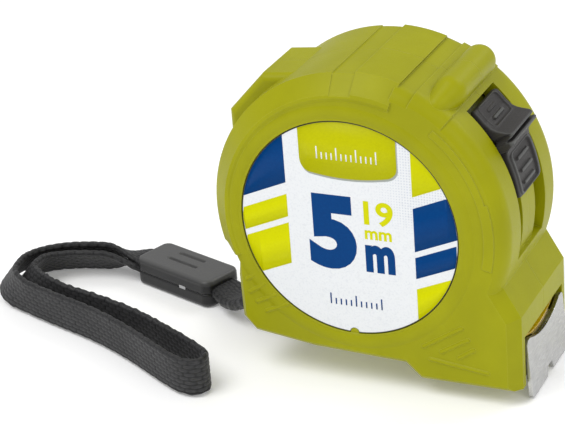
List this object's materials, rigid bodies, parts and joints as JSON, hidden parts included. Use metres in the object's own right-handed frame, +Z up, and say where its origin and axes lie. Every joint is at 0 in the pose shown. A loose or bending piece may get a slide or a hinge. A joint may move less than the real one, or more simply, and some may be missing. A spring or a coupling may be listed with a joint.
{
  "type": "tape measure",
  "caption": "Pocket tape measure with a round green two-part case, round printed label, thumb lock, steel end hook, belt clip and wrist strap.",
  "frame": {"origin": "middle of the base of the object without its strap, at the height of the hook's tip", "axes": "+X out of the blade's mouth, +Z up, Y along the spool's axis with the belt clip on the +Y side"},
  "size_m": [0.1175, 0.0483, 0.0617],
  "materials": {
    "case_green": "satin moulded plastic, fine spark texture",
    "inner_green": "satin moulded plastic",
    "label_print": "printed white film with blocks of blue and lime",
    "lock_dark": "dark grey, textured finger plates",
    "spool_black": "plain",
    "blade_yellow": "lacquered steel tape",
    "spring_steel": "blued spring strip",
    "post_steel": "turned",
    "screw_steel": "plated",
    "hook_steel": "bright pressed sheet, rolled grain",
    "clip_steel": "bright pressed sheet",
    "pad_rubber": "matt",
    "clamp_dark": "dark grey, slightly glossy",
    "webbing_dark": "woven polyester webbing"
  },
  "bodies": {
    "case": {"near_shell": "case_green", "far_shell": "case_green", "case_screws": "screw_steel", "near_label": "label_print", "far_label": "label_print", "centre_post": "post_steel", "hook_pad": "pad_rubber", "belt_clip": "clip_steel", "clip_screw": "screw_steel", "strap_bar": "post_steel", "clamp_top": "clamp_dark", "clamp_base": "clamp_dark", "clamp_pegs": "screw_steel", "wrist_strap": "webbing_dark", "strap_tail": "webbing_dark"},
    "drum": {"spool": "spool_black", "spool_cover": "spool_black", "blade_coil": "blade_yellow", "power_spring": "spring_steel"},
    "blade": {"blade_tongue": "blade_yellow", "hook_rivets": "hook_steel"},
    "hook": {"end_hook": "hook_steel"},
    "lock": {"thumb_lock": "lock_dark", "guide_plate": "inner_green", "brake_tail": "inner_green", "brake_shoe": "pad_rubber"}
  },
  "joints": [
    {"name": "drum_turn", "type": "hinge", "parent": "case", "child": "drum", "pos_m": [-0.0014, -0.00214, 0.03277], "axis": [0, -1, 0], "range_deg": [0, 92], "stiffness_Nm_per_rad": 0.02, "springref_deg": -28.65},
    {"name": "blade_pull", "type": "slide", "parent": "case", "child": "blade", "axis": [1, 0, 0], "range_m": [0, 0.032]},
    {"name": "hook_float", "type": "slide", "parent": "blade", "child": "hook", "axis": [1, 0, 0], "range_m": [0, 0.0009]},
    {"name": "lock_slide", "type": "hinge", "parent": "case", "child": "lock", "pos_m": [-0.0014, -0.00214, 0.03277], "axis": [0, 1, 0], "range_deg": [0, 8]}
  ],
  "couplings": [
    {"joint": "blade_pull", "follows": "drum_turn", "m_per_rad": 0.0198}
  ]
}
